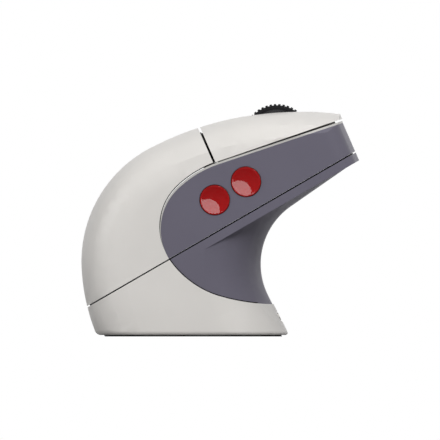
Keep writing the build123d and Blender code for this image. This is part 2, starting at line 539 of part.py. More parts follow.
# Main board and what it carries
board_half = screw_y - BOSS_RADIUS - 0.4
main_board = brick(BOARD_BACK, BOARD_FRONT, -board_half, board_half, BOARD_Z, BOARD_Z + BOARD)
save("main_board", main_board + brick(BOARD_FRONT - 1, BOARD_TONGUE, -6, 6, BOARD_Z, BOARD_Z + BOARD))
chip_z = BOARD_Z + BOARD
lens = brick(SENSOR_X - 6, SENSOR_X + 6, -5, 5, plate_top, plate_top + 0.8)
lens += brick(SENSOR_X - 4.3, SENSOR_X + 4.3, -3.3, 3.3, SOLE + 0.5, plate_top + 0.1)
save("sensor_lens", lens - Pos(SENSOR_X, 0, SOLE + 0.5) * Cylinder(1.8, 1.4))
save("motion_sensor", brick(SENSOR_X - 5, SENSOR_X + 5, -4, 4, plate_top + 0.8, BOARD_Z))
save("controller_chip", brick(0.5, 7.5, -3.5, 3.5, chip_z, chip_z + 0.9))
save("battery", Pos(-23, 0, chip_z) * extrude(RectangleRounded(28, 26, 2.5), 6.0))
shell = RectangleRounded(SOCKET_HEIGHT, SOCKET_WIDTH, SOCKET_HEIGHT / 2 - 0.2)
mouth = RectangleRounded(SOCKET_HEIGHT - 2 * SOCKET_SHELL, SOCKET_WIDTH - 2 * SOCKET_SHELL,
                         SOCKET_HEIGHT / 2 - SOCKET_SHELL - 0.1)
socket = extrude(shell, SOCKET_LENGTH / 2, both=True)
socket -= Pos(0, 0, SOCKET_SHELL) * extrude(mouth, SOCKET_LENGTH / 2, both=True)
tongue = brick(-0.35, 0.35, -3.3, 3.3, -SOCKET_LENGTH / 2, SOCKET_LENGTH / 2 - 0.8)
save("usb_socket", socket_place * (socket + tongue))
save("power_switch", Pos(SLIDE_X, SLIDE_Y, BOARD_Z - 1.0) * Box(9, 5, 2))
knob_x = SLIDE_X - SLIDE_TRAVEL / 2
save("power_slider", sole_key(knob_x, SLIDE_Y, SLIDE_LENGTH / 2, SLIDE_WIDTH / 2, 2.0))
save("mode_switch", Pos(MODE_X, MODE_Y, BOARD_Z - 0.8) * Box(5, 5, 1.6))
save("mode_button", sole_key(MODE_X, MODE_Y, MODE_SIZE / 2, MODE_SIZE / 2, 1.0))

# Ribbon cable: off the back of the switch board, down the neck, forward onto the main board
lift = CABLE / 2 + 0.01
route = [from_deck(board_back + 1.5, board_top + lift), from_deck(CABLE_U + CABLE / 2, board_top + lift),
         from_deck(CABLE_U + CABLE / 2, deck_w - 6.0), (-2.0, 20.0), (-2.0, chip_z + lift),
         (-0.2, chip_z + lift)]
ribbon = Plane.XZ * trace(Polyline(*route), CABLE)
save("flex_cable", Pos(0, CABLE_Y, 0) * extrude(ribbon, CABLE_WIDTH / 2, both=True))
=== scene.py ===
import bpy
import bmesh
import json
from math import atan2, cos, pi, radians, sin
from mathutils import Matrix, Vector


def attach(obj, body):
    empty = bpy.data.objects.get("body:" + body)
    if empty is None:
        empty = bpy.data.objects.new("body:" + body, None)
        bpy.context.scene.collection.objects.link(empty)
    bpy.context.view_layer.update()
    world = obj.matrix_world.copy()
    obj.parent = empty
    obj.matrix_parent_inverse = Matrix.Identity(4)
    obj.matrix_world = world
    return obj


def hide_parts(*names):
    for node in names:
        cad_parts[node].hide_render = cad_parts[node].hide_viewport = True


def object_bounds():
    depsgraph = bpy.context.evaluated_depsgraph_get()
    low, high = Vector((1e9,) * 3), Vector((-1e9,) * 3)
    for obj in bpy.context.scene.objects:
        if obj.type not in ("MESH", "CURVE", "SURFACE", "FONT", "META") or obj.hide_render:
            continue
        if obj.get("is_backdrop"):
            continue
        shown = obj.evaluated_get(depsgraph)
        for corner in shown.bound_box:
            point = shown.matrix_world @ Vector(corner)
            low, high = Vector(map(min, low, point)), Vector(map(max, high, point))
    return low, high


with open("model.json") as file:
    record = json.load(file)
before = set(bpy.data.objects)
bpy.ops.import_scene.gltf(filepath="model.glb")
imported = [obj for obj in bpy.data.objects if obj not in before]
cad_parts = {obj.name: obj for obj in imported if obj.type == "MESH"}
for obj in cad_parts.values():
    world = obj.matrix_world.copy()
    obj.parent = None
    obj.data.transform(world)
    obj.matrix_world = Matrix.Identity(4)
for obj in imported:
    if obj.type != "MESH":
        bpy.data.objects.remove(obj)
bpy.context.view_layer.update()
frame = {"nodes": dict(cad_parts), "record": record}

# %% [markdown]
# # Dressing a mouse
# The mouse arrives as loose CAD solids, already in place, in metres: +X is the front, where the nose
# overhangs, +Z is up, and the photograph looks at the side that faces -Y. The shells could be modelled
# afresh, but the solids have the right outline already, so everything below dresses them: it gives each
# one its finish, rounds the edges that catch the light and adds what is too fine for the CAD model.

nodes = frame["nodes"]
MM = 0.001
SIDES = {"left": 1, "right": -1}  # the sign of y on each side
SPOTS = ("rear", "front")

# %% [markdown]
# ## Camera
# A product photograph like this one is taken from far away with a long lens, which flattens the
# perspective. A perspective camera could stand very far off, but an orthographic one gives the same
# picture and keeps the scale simple: it looks straight at the side, level with the desk, and each pixel
# of the photograph is 0.4 mm on the mouse.

# %% Camera
PIXELS, PIXEL = 440, 0.4  # width of the photograph, and the millimetres in one of its pixels
FLOOR_ROW = 336.5  # the row of pixels in which the mouse meets the desk
CAMERA_AWAY = 0.8
camera_data = bpy.data.cameras.new("camera")
camera_data.type = "ORTHO"
camera_data.ortho_scale = PIXELS * PIXEL * MM
camera = bpy.data.objects.new("camera", camera_data)
bpy.context.collection.objects.link(camera)
camera.location = (0, -CAMERA_AWAY, (FLOOR_ROW - PIXELS / 2) * PIXEL * MM)
camera.rotation_euler = (pi / 2, 0, 0)
bpy.context.scene.camera = camera
bpy.context.scene.view_settings.view_transform = "Standard"
print("camera", tuple(round(v, 4) for v in camera.location))

# %% [markdown]
# ## Shader maths
# A finish is a sum of a few patterns. The nodes could be added and wired one by one, but then the sum
# gets lost among the wires. Writing it as Python keeps it readable: this class wraps one socket, and
# each sum or product on it adds a Math node.

# %% Shader maths
class Shade:
    """An output socket of the material that is being made."""
    tree = material = None

    def __init__(self, socket):
        self.socket = socket

    @classmethod
    def node(cls, kind, settings=(), inputs=(), output=0):
        """Adds any node: its settings first, then the values or links of its inputs."""
        made = cls.tree.nodes.new(kind)
        for key, value in dict(settings).items():
            setattr(made, key, value)
        for key, value in dict(inputs).items():
            if isinstance(value, cls):
                cls.tree.links.new(value.socket, made.inputs[key])
            else:
                made.inputs[key].default_value = value
        return cls(made.outputs[output])

    def math(self, operation, first, second=0.0):
        return Shade.node("ShaderNodeMath", {"operation": operation}, {0: first, 1: second})

    def __add__(self, other):
        return self.math("ADD", self, other)

    __radd__ = __add__

    def __sub__(self, other):
        return self.math("SUBTRACT", self, other)

    def __rsub__(self, other):
        return self.math("SUBTRACT", other, self)

    def __mul__(self, other):
        return self.math("MULTIPLY", self, other)

    __rmul__ = __mul__

    def sine(self):
        return self.math("SINE", self)

    def steps(self, low, high):
        """0 below low and 1 above high, with a soft step between."""
        return Shade.node("ShaderNodeMapRange", {"interpolation_type": "SMOOTHSTEP"},
                          {"Value": self, "From Min": low, "From Max": high})


# %% [markdown]
# ## Patterns
# Every finish here is made of noise in the piece's own coordinates, so that the pattern moves with the
# piece. A painted texture would need the shells unwrapped first; noise needs nothing, and it has no
# seams. Noise keeps mostly to the middle of its range, so a blend between two colours starts and ends
# inside it.

# %% Patterns
MIDDLE = (0.3, 0.7)  # where noise has most of its values
COLOUR_A, COLOUR_B, COLOUR_OUT = 6, 7, 2  # the colour sockets of a Mix node


def place():
    return Shade.node("ShaderNodeTexCoord", output="Object")


def noise(scale, detail=2.0, roughness=0.5, at=None):
    """Noise from 0 to 1, with scale as the number of its grains in a metre."""
    values = {"Vector": at or place(), "Scale": scale, "Detail": detail, "Roughness": roughness}
    return Shade.node("ShaderNodeTexNoise", {}, values, "Fac")


def blend_colour(amount, first, second):
    return Shade.node("ShaderNodeMix", {"data_type": "RGBA"},
                      {"Factor": amount, COLOUR_A: first, COLOUR_B: second}, COLOUR_OUT)


def bump(height, strength, distance):
    return Shade.node("ShaderNodeBump", {}, {"Height": height, "Strength": strength, "Distance": distance},
                      "Normal")


def linear(red, green, blue):
    """A colour as read off a picture, from 0 to 255, as the shader wants it."""
    return tuple((v / 255 / 12.92 if v < 10.3 else ((v / 255 + 0.055) / 1.055) ** 2.4)
                 for v in (red, green, blue)) + (1.0,)


def shaded(colour, share):
    """The same colour, darker below a share of 1 and lighter above it."""
    return tuple(min(1.0, v * share) for v in colour[:3]) + (1.0,)


def begin(name):
    Shade.material = bpy.data.materials.new(name)
    Shade.material.use_nodes = True
    Shade.tree = Shade.material.node_tree


def finish(varying, fixed=()):
    """Ends the material that was begun, from what varies over it and the numbers that don't."""
    shader = next(n for n in Shade.tree.nodes if n.type == "BSDF_PRINCIPLED")
    for key, value in {**varying, **dict(fixed)}.items():
        if isinstance(value, Shade):
            Shade.tree.links.new(value.socket, shader.inputs[key])
        else:
            shader.inputs[key].default_value = value
    print("finish", Shade.material.name, len(Shade.tree.nodes), "nodes")
    return Shade.material


# %% [markdown]
# ## Moulded plastic
# The shells come out of steel moulds whose walls are spark-eroded, so the plastic carries a fine even
# grain that softens its reflections. Under it, handling leaves slow changes of gloss, and the colour is
# never quite even. Each plastic could be a material of its own, but they differ only in colour, gloss
# and size of grain, so one function makes them all.

# %% Moulded plastic
PATCHES, CLOUDS = 38.0, 9.0  # patches of wear, and slower clouds, in a metre


def moulded(name, colour, gloss, grain=0.22, depth=0.012, drift=0.03, fixed=()):
    """grain and depth of the mould texture in millimetres, drift of the colour as a share."""
    begin(name)
    slow = noise(PATCHES, 3.0)
    cloud = noise(CLOUDS)
    pits = noise(1.0 / (grain * MM), 3.0, 0.65)
    worn = slow * 0.6 + cloud * 0.4 + (pits - 0.5) * 0.25
    return finish({
        "Base Color": blend_colour(worn.steps(*MIDDLE), shaded(colour, 1 - drift), shaded(colour, 1 + drift)),
        "Roughness": (slow - 0.5) * 0.16 + (pits - 0.5) * 0.2 + gloss,
        "Normal": bump(pits, 0.35, depth * MM),
    }, fixed)


white = moulded("white_moulded_plastic", linear(219, 216, 212), 0.42)
slate = moulded("slate_moulded_plastic", linear(103, 100, 113), 0.46, grain=0.28, depth=0.018,
                fixed={"Specular IOR Level": 0.22})
rim_grey = moulded("light_grey_frame_plastic", linear(186, 184, 181), 0.40)
black = moulded("black_plastic", linear(28, 28, 31), 0.42, drift=0.08)
nylon = moulded("natural_nylon", linear(214, 206, 184), 0.38, drift=0.05)
glide = moulded("glide_plastic", linear(74, 72, 71), 0.30, grain=0.6, depth=0.004, drift=0.06)
case_black = moulded("switch_case_plastic", linear(36, 37, 40), 0.36, grain=0.15, drift=0.1)
chip_epoxy = moulded("chip_epoxy", linear(30, 30, 32), 0.5, grain=0.1, drift=0.06)
pouch = moulded("silver_pouch", linear(182, 185, 190), 0.28, grain=1.1, depth=0.05, drift=0.05)

# %% [markdown]
# ## Polished plastic
# The thumb buttons are cast against a polished mould, so they mirror the lamps in a sharp crescent. The
# ribbon cable and the lens share that skin. A clear coat over the red could do it too, but bare gloss
# with a little dust on it looks the same and is simpler.

# %% Polished plastic
DUST = 2600.0


def polished(name, colour, gloss, drift=0.04, fixed=()):
    begin(name)
    slow = noise(60.0)
    specks = noise(DUST).steps(0.62, 0.8)
    return finish({
        "Base Color": blend_colour(slow.steps(*MIDDLE), shaded(colour, 1 - drift), colour),
        "Roughness": (slow - 0.5) * 0.03 + specks * 0.05 + gloss,
        "Normal": bump(slow, 0.05, 0.02 * MM),
    }, fixed)


red_gloss = polished("red_polished_plastic", linear(158, 6, 8), 0.05, fixed={"Specular IOR Level": 0.12})
film = polished("amber_film", linear(176, 104, 30), 0.2)
lens_clear = polished("clear_optic", linear(226, 232, 236), 0.05, drift=0.02,
                      fixed={"Transmission Weight": 0.9})

# %% [markdown]
# ## Rubber and foam
# The tyre is soft rubber. The nearly black foam is painted shade: it lies deep in the gaps between the
# covers, in the slit and in the base seam, and makes them read black. Both swallow light: their grain is
# far rougher than a plastic's, and what they reflect is dull. Rubbed places turn grey, which is a second
# colour and not a gloss, so the noise of the wear feeds the colour first.

# %% Rubber and foam
RUBBER_GRAIN, RUBBER_WEAR = 4200.0, 240.0


def rubber(name, colour):
    begin(name)
    grain = noise(RUBBER_GRAIN, 3.0, 0.7)
    wear = noise(RUBBER_WEAR)
    return finish({
        "Base Color": blend_colour(wear.steps(0.45, 0.8) * 0.6, colour, shaded(colour, 1.8)),
        "Roughness": wear * 0.2 + grain * 0.15 + 0.5,
        "Normal": bump(grain, 0.4, 0.02 * MM),
    }, {"Specular IOR Level": 0.18})


tyre_rubber = rubber("tyre_rubber", linear(24, 24, 26))
# painted shade: nearly black foam that darkens the shadow lines, the slit and the base seam
painted_shade_foam = rubber("painted_shade_black_foam", linear(9, 9, 10))

# %% [markdown]
# ## Metal
# Pins, screws and the shell of the socket are drawn or rolled, which leaves fine lines along the metal.
# An anisotropic shader could spread the gloss along them, but the pieces are so small that lines in the
# noise do as well: a Mapping node stretches it along one axis.

# %% Metal
METAL_LINES, METAL_STAINS = 9000.0, 150.0
ALONG_Y, ALONG_X = (1.0, 0.02, 1.0), (0.02, 1.0, 1.0)


def drawn_metal(name, colour, gloss, stretch):
    """Metal with fine lines along the axis that stretch makes small."""
    begin(name)
    along = Shade.node("ShaderNodeMapping", {}, {"Vector": place(), "Scale": stretch})
    lines = noise(METAL_LINES, 2.0, 0.6, along)
    stain = noise(METAL_STAINS, 3.0)
    return finish({
        "Base Color": blend_colour(stain.steps(0.35, 0.7), shaded(colour, 0.82), colour),
        "Roughness": lines * 0.18 + stain * 0.12 + gloss,
        "Normal": bump(lines, 0.25, 0.006 * MM),
    }, {"Metallic": 1.0})


steel = drawn_metal("drawn_steel", (0.56, 0.56, 0.57, 1.0), 0.2, ALONG_Y)
nickel = drawn_metal("nickel_plate", (0.66, 0.63, 0.58, 1.0), 0.15, ALONG_X)

# %% [markdown]
# ## Circuit boards
# A board is glass cloth under green varnish: the weave shows faintly, and copper runs lighter under the
# green. The tracks could be drawn, but the boards only show when the mouse is taken apart, so cells of
# a square Voronoi pattern stand for them.

# %% Circuit boards
WEAVE, TRACKS = 9000.0, 420.0


def board(name):
    begin(name)
    at = place()
    split = Shade.node("ShaderNodeSeparateXYZ", {}, {"Vector": at})
    across = Shade(split.socket.node.outputs["Y"])
    weave = (split * WEAVE).sine() * (across * WEAVE).sine()
    cells = Shade.node("ShaderNodeTexVoronoi", {"distance": "MANHATTAN", "feature": "F1"},
                       {"Vector": at, "Scale": TRACKS}, "Distance")
    tracks = cells.steps(0.32, 0.36) * (1 - cells.steps(0.52, 0.56))
    return finish({
        "Base Color": blend_colour(tracks, linear(14, 78, 46), linear(30, 112, 66)),
        "Roughness": noise(300.0) * 0.1 + 0.22,
        "Normal": bump(weave * 0.3 + tracks, 0.3, 0.02 * MM),
    }, {"Coat Weight": 0.4, "Coat Roughness": 0.12})


green_board = board("green_circuit_board")

# %% [markdown]
# ## Rounded copies
# CAD edges are perfectly sharp, and real ones never are: a mould leaves a small radius, and that radius
# is what draws a bright line round each cover. A bevel on the solid itself would catch on its loose
# triangles, so each visible solid is copied, the copy's triangles are merged into clean faces, its
# edges get a narrow bevel, and it stands for the solid.

# %% Selecting and editing
def alone(*objects):
    """Selects these objects only; operators act on all that is selected."""
    bpy.ops.object.select_all(action="DESELECT")
    for piece in objects:
        piece.select_set(True)
    bpy.context.view_layer.objects.active = objects[0]


def edit(piece, kind="FACE"):
    """Opens a piece with nothing selected and gives its mesh."""
    alone(piece)
    bpy.ops.object.mode_set(mode="EDIT")
    bpy.ops.mesh.select_mode(type=kind)
    bpy.ops.mesh.select_all(action="DESELECT")
    return bmesh.from_edit_mesh(piece.data)


def close():
    bpy.ops.object.mode_set(mode="OBJECT")


def pick(mesh, test):
    """Selects the faces that pass a test, and no others."""
    for face in mesh.faces:
        face.select = test(face)


def apply_all(piece):
    alone(piece)
    for modifier in list(piece.modifiers):
        bpy.ops.object.modifier_apply(modifier=modifier.name)


# %% [markdown]
# ## Merging and settling
# A CAD solid arrives as loose triangles, each with three points of its own. The points are welded and
# the flats are joined, so that an edge is one edge again and a bevel can follow it. Remeshing would also
# join them, but it would lose the crisp outline. At the end each piece gets its shading and its finish,
# and rides the body that it moves with.

# %% Merging and settling
WELD, FLAT = 0.002 * MM, radians(0.4)  # points this near are one, and faces this level are one
SMOOTH, SHARP = radians(30), radians(32)  # shading runs on below the first, and bevels start at the second


def merged_copy(node, name):
    piece = bpy.data.objects.new(name, nodes[node].data.copy())
    bpy.context.collection.objects.link(piece)
    piece.data.materials.clear()
    edit(piece, "VERT")
    bpy.ops.mesh.select_all(action="SELECT")
    bpy.ops.mesh.remove_doubles(threshold=WELD)
    bpy.ops.mesh.dissolve_limited(angle_limit=FLAT)
    close()
    return piece


def body_of(node):
    return next(name for name, held in frame["record"]["behaviour"]["bodies"].items() if node in held)


def settle(piece, material, body):
    """Last steps of every piece: shading, finish and the body it moves with."""
    alone(piece)
    bpy.ops.object.shade_smooth_by_angle(angle=SMOOTH)
    piece.data.materials.clear()
    piece.data.materials.append(material)
    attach(piece, body)


# %% [markdown]
# ## The foot of the base
# The lowest edge of the white base is rounded far more than the others: it is the one that a hand and
# a pad rub against. A bevel this wide on every edge would eat the shell, so only the outer edges of its
# underside are picked, by their height and by the way their wall faces.

# %% The foot of the base
FOOT_HEIGHT, FOOT_ROUND = 0.6, 1.6
LEVEL_WITHIN = 0.02 * MM


def round_foot(piece):
    """Rounds the outer edge of a shell's underside."""
    mesh = edit(piece, "EDGE")
    middle = sum((v.co for v in mesh.verts), Vector()) / len(mesh.verts)
    for edge in mesh.edges:
        low = all(abs(v.co.z - FOOT_HEIGHT * MM) < LEVEL_WITHIN for v in edge.verts)
        walls = [f.normal for f in edge.link_faces if f.normal.z > -0.95]
        away = (edge.verts[0].co + edge.verts[1].co) / 2 - middle
        if low and len(walls) == 1 and walls[0].dot(Vector((away.x, away.y, 0))) > 0:
            edge.select = True
    bmesh.update_edit_mesh(piece.data)
    print(sum(e.select for e in mesh.edges), "edges of the foot rounded")
    bpy.ops.mesh.bevel(offset=FOOT_ROUND * MM, segments=4, affect="EDGES", clamp_overlap=False)
    close()


# %% [markdown]
# ## Even shading
# The CAD model turns the curved covers into long flats, and each ridge between two flats would show as a
# faint line. A subdivided mesh could carry the true curve, but it would no longer fit its neighbours.
# So the shape stays, and only the normals are evened out, wherever all the faces round a point nearly
# agree. The real edges are sharper than that and keep their line.

# %% Even shading
RIDGE_LIMIT = radians(18)


def soften(piece, times):
    """Evens out the shading across the shallow ridges of a shell, away from its edges."""
    mesh = edit(piece, "VERT")
    for vert in mesh.verts:
        normals = [face.normal for face in vert.link_faces]
        vert.select = all(normal.dot(normals[0]) > cos(RIDGE_LIMIT) for normal in normals)
    mesh.select_flush_mode()
    bmesh.update_edit_mesh(piece.data)
    for _ in range(times):
        bpy.ops.mesh.smooth_normals(factor=0.5)
    close()


# %% [markdown]
# ## The parting line
# The upper and the lower covers meet on one sloping plane, and moulders leave a shadow line there, a
# narrow gap that hides any mismatch. The gap could be cut with a thin slab, but the covers already end
# on the plane, so the end faces of the lower ones are picked and drawn down by a hair.

# %% The parting line
PARTING_SLOPE, PARTING_HEIGHT = radians(30), 42.5  # the height is taken under the origin of x
PARTING_REACH, EASE = 0.3, 0.2
PARTING = Vector((-sin(PARTING_SLOPE), 0, cos(PARTING_SLOPE)))
PARTING_FOOT = Vector((0, 0, PARTING_HEIGHT * MM))


def above_parting(face):
    return (face.calc_center_median() - PARTING_FOOT).dot(PARTING)


def on_parting(face):
    """The faces of a lower cover that look at the upper cover across the shadow line."""
    return face.normal.dot(PARTING) > 0.999 and abs(above_parting(face)) < PARTING_REACH * MM


def ease_parting(piece):
    """Draws the parting face of a lower cover down a little, which widens the shadow line."""
    pick(edit(piece), on_parting)
    bpy.ops.transform.translate(value=PARTING * -EASE * MM)
    close()
    print("shadow line of", piece.name, "widened by", EASE, "mm")


# %% [markdown]
# ## Covers
# The hump shell, the slate covers, the base and the light frame are the pieces that one sees first.
# After the bevel, weighted normals let the long flats of the shells shade as one curve. The order
# matters: first the faces are drawn back and the foot is rounded, then the small bevels follow.

# %% Covers
FINE, NARROW, WIDE = 0.08, 0.12, 0.15  # widths of the roundings, in millimetres


def rounded(node, name, material, width, segments=2, soft=0, first=()):
    """A merged copy with its sharp edges bevelled, which stands for the node."""
    piece = merged_copy(node, name)
    for shape in first:
        shape(piece)
    bpy.ops.object.shade_smooth_by_angle(angle=SMOOTH)
    bevel = piece.modifiers.new("rounding", "BEVEL")
    bevel.width, bevel.segments = width * MM, segments
    bevel.limit_method, bevel.angle_limit = "ANGLE", SHARP
    bevel.miter_outer = "MITER_SHARP"
    weigh = piece.modifiers.new("weighted", "WEIGHTED_NORMAL")
    weigh.keep_sharp = True
    apply_all(piece)
    settle(piece, material, body_of(node))
    if soft:
        soften(piece, soft)
    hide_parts(node)
    print(name, len(piece.data.polygons), "faces")
    return piece

rounded("upper_case", "rear_hump_shell", white, NARROW, soft=3)
rounded("head_cover", "slate_head_cover", slate, NARROW)
rounded("neck_cover", "slate_neck_cover", slate, NARROW, soft=3, first=(ease_parting,))
rounded("lower_case", "white_base_shell", white, NARROW, soft=3, first=(ease_parting, round_foot))
rounded("inner_frame", "light_inner_frame", rim_grey, FINE)

# %% [markdown]
# ## Buttons
# Each side has a white click plate and two round thumb buttons with a dished face. The edge of a thumb
# button is what the thumb feels for, so its rounding gets one segment more than the plates'. One loop
# makes both sides, since the far side is the mirror image of the near one.

# %% Buttons
thumb_caps = []
for side in SIDES:
    rounded(f"{side}_button", f"{side}_click_plate", white, NARROW)
    for spot in SPOTS:
        cap = rounded(f"{side}_{spot}_side_button", f"{side}_{spot}_thumb_cap", red_gloss, NARROW, segments=3)
        thumb_caps.append(cap)
print(len(thumb_caps), "thumb caps")

# %% [markdown]
# ## Wheel, sole and socket
# The wheel is a hard core inside a ribbed rubber tyre. Under the mouse are the black sole plate, the
# two glides, the keys and the screws, and the socket looks out of the front of the base. These are
# small, so their roundings are as fine as their edges allow.

# %% Wheel, sole and socket
tyre = rounded("wheel_tyre", "ribbed_tyre", tyre_rubber, FINE)
rounded("wheel_hub", "wheel_core", black, WIDE)
rounded("bottom_plate", "sole_plate", black, NARROW)
for end in ("front", "rear"):
    rounded(f"{end}_skate", f"{end}_glide", glide, WIDE, segments=3)
usb_shell = rounded("usb_socket", "usb_shell", nickel, FINE)
power_key = rounded("power_slider", "power_key", black, NARROW)
mode_key = rounded("mode_button", "mode_key_cap", black, NARROW)
sole_screws = rounded("case_screws", "sole_screws", steel, NARROW)

# %% [markdown]
# ## Finishes of the inner parts
# The solids under the covers could be rounded too, but they show only when the mouse is taken apart. So
# they keep their CAD shape, and each one only gets the finish of the real thing. The material hangs on
# the object's slot, which leaves the mesh as it came.

# %% Finishes of the inner parts
side_spots = [f"{side}_{spot}_side" for side in SIDES for spot in SPOTS]
INNER = {
    green_board: ["switch_board", "main_board", "left_side_board", "right_side_board"],
    case_black: ["left_switch", "right_switch", "middle_switch", "power_switch", "mode_switch",
                 "wheel_encoder"] + [f"{spot}_switch" for spot in side_spots],
    black: ["wheel_carrier"],
    nylon: ["left_plunger", "right_plunger", "middle_plunger"] + [f"{spot}_plunger" for spot in side_spots],
    chip_epoxy: ["motion_sensor", "controller_chip"],
    steel: ["button_pivot_pin", "carrier_pin", "wheel_axle"],
    film: ["flex_cable"],
    pouch: ["battery"],
    lens_clear: ["sensor_lens"],
}
for material, held in INNER.items():
    for name in held:
        if not nodes[name].material_slots:
            nodes[name].data.materials.append(material)
        for slot in nodes[name].material_slots:
            slot.link = "OBJECT"
            slot.material = material
print(sum(len(held) for held in INNER.values()), "inner solids finished")

# %% [markdown]
# ## Painted shade in the shadow lines
# A thin strip of nearly black foam lies deep in the gap where the covers meet. It is painted shade:
# it makes the shadow lines look black and not bright, and without it one would see straight through
# the mouse. A strip could be drawn as a curve along the gap, but the faces of the shell's edge have its
# exact course already. So they are copied, drawn in from the outside and thickened.

# %% Painted shade in the shadow lines
SEAM_X, SEAM_REACH = -21, 3  # the strips end near this x, where the slate covers begin
SHADE_STRIP_INSET, SHADE_STRIP_HEIGHT = 1.2, 0.33


def outer_neighbours(strip, core):
    """The faces beside a strip that form the outside of a shell, without those at the strip's ends."""
    outside = set()
    for face in strip:
        for edge in face.edges:
            away = (edge.verts[0].co + edge.verts[1].co) / 2 - core
            away.z = 0
            at_end = abs(away.x + core.x - SEAM_X * MM) < SEAM_REACH * MM
            for other in edge.link_faces:
                end = abs(other.normal.y) < 0.3 and at_end
                if other not in strip and other.normal.dot(away) > 0 and not end:
                    outside.add(other)
    return outside


def painted_shade_strip(node, name, chosen, core_x, height=SHADE_STRIP_HEIGHT, inset=SHADE_STRIP_INSET, first=()):
    """Painted shade: black foam on the chosen faces of a shell. Its outer edge lies back from the surface,
    its ends don't.
    """
    piece = merged_copy(node, name)
    for shape in first:
        shape(piece)
    mesh = edit(piece)
    strip = {face for face in mesh.faces if chosen(face)}
    outside = outer_neighbours(strip, Vector((core_x * MM, 0, 0)))
    pick(mesh, lambda face: face not in strip and face not in outside)
    bpy.ops.mesh.delete(type="FACE")
    pick(bmesh.from_edit_mesh(piece.data), chosen)
    bpy.ops.mesh.inset(thickness=inset * MM, use_boundary=False)
    bpy.ops.mesh.select_all(action="INVERT")
    bpy.ops.mesh.delete(type="FACE")
    close()
    thicken = piece.modifiers.new("thickness", "SOLIDIFY")
    thicken.thickness, thicken.offset = height * MM, 1.0
    apply_all(piece)
    settle(piece, painted_shade_foam, body_of(node))
    print(name, len(piece.data.polygons), "faces", [round(v / MM, 1) for v in piece.dimensions])


# painted shade: black strips deep in the shadow line where the upper and lower covers meet
painted_shade_strip("lower_case", "rear_parting_painted_shade", on_parting, -25, SHADE_STRIP_HEIGHT + EASE, first=(ease_parting,))
painted_shade_strip("neck_cover", "front_parting_painted_shade", on_parting, 20, SHADE_STRIP_HEIGHT + EASE, first=(ease_parting,))

# %% [markdown]
# ## Painted shade behind the light rim
# The hump shell also looks at the light rim of the frame, along the curved end of the slate cover, and
# the same black foam lies in that gap as painted shade. Its faces there are upright and look forwards,
# above the parting line and below the slit, which is how they are told from the rest of the shell.

# %% Painted shade behind the light rim
RIM_FOOT, RIM_TOP = 0.4, 70.5  # above the parting line, and below this height


def on_rim(face):
    """The faces of the hump shell that look at the light rim of the frame."""
    upright = abs(face.normal.y) < 0.02 and face.normal.x > 0.2
    return (upright and above_parting(face) > RIM_FOOT * MM
            and face.calc_center_median().z < RIM_TOP * MM)


# painted shade: a black strip in the gap between the hump shell and the light rim
painted_shade_strip("upper_case", "rim_painted_shade", on_rim, -25)

# %% [markdown]
# ## Painted shade in the slit
# A slab of the same black foam sits on the hump shell, in the slit behind the click plates, as painted
# shade that makes the slit look dark. The plates move, so the slab can't fill the slit: its middle alone
# stands further out, under the plates. A second slab would leave a seam, so the middle of its front face
# is inset and drawn ahead.

# %% Painted shade in the slit
SLIT_FOOT, SLIT_TOP = (-2.5, 70.1), (-8.5, 83.8)  # x and z of the slit's ends
SLAB_EDGE, SLAB_AHEAD = 0.5, 0.6
lean = atan2(SLIT_TOP[1] - SLIT_FOOT[1], SLIT_TOP[0] - SLIT_FOOT[0])
ahead = Vector((sin(lean), 0, -cos(lean)))
# painted shade: the slit's seal gets the black foam so that the slit reads dark
slit_painted_shade = merged_copy("slit_seal", "slit_painted_shade")
pick(edit(slit_painted_shade), lambda face: face.normal.dot(ahead) > 0.99)
bpy.ops.mesh.inset(thickness=SLAB_EDGE * MM)
bpy.ops.mesh.extrude_region_move(TRANSFORM_OT_translate={"value": ahead * SLAB_AHEAD * MM})
close()
settle(slit_painted_shade, painted_shade_foam, body_of("slit_seal"))
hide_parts("slit_seal")
print("slit foam", len(slit_painted_shade.data.polygons), "faces")

# %% [markdown]
# ## Bead in the base seam
# A thin bead of the black foam also closes the step where the slate neck runs down into the white base;
# it is painted shade that draws the dark line of that step. It lies nearly flush, so it is drawn in by a
# tenth of a millimetre only. Its faces are those of the base that face up below the parting line and
# have a side wall of the mouse beside them.

# %% Bead in the base seam
BEAD_INSET, BEAD_HEIGHT = 0.1, 0.4
WALL_FROM = 14  # a side wall is at least this far from the middle


def on_base_seam(face):
    """The faces of the base that carry the lower edge of the neck."""
    if abs(face.normal.y) > 0.02 or face.normal.z < 0.05 or above_parting(face) > -0.1 * MM:
        return False
    beside = [other for edge in face.edges for other in edge.link_faces if other is not face]
    return any(other.normal.y * other.calc_center_median().y > WALL_FROM * MM for other in beside)


# painted shade: a black bead that draws the dark line where the neck meets the base
painted_shade_strip("lower_case", "base_seam_painted_shade_bead", on_base_seam, -25, BEAD_HEIGHT, BEAD_INSET)

# %% [markdown]
# ## Lips under the click plates
# The frame carries thin upright lips just inside the click plates, so that dust can't blow in under
# them. A long one follows the taper of the nose and a short straight one fills the place behind it. A
# lip could be cut from the frame's own faces, but it is only a bar, so it starts as a plane at the
# origin. It is stretched to its length, turned, raised to its height, tilted with the deck and carried
# to the wheel's centre, from which the deck is measured.

# %% Lips under the click plates
DECK_TILT, DECK_LEVEL = radians(18.4), -2.577  # the deck's slope, and its level against the wheel's centre
WHEEL_CENTRE = Vector((22.8 * MM, 0, 79.4 * MM))
LIP_THICK, LIP_ROUND, LIP_SUNK = 1.0, 0.2, 0.1

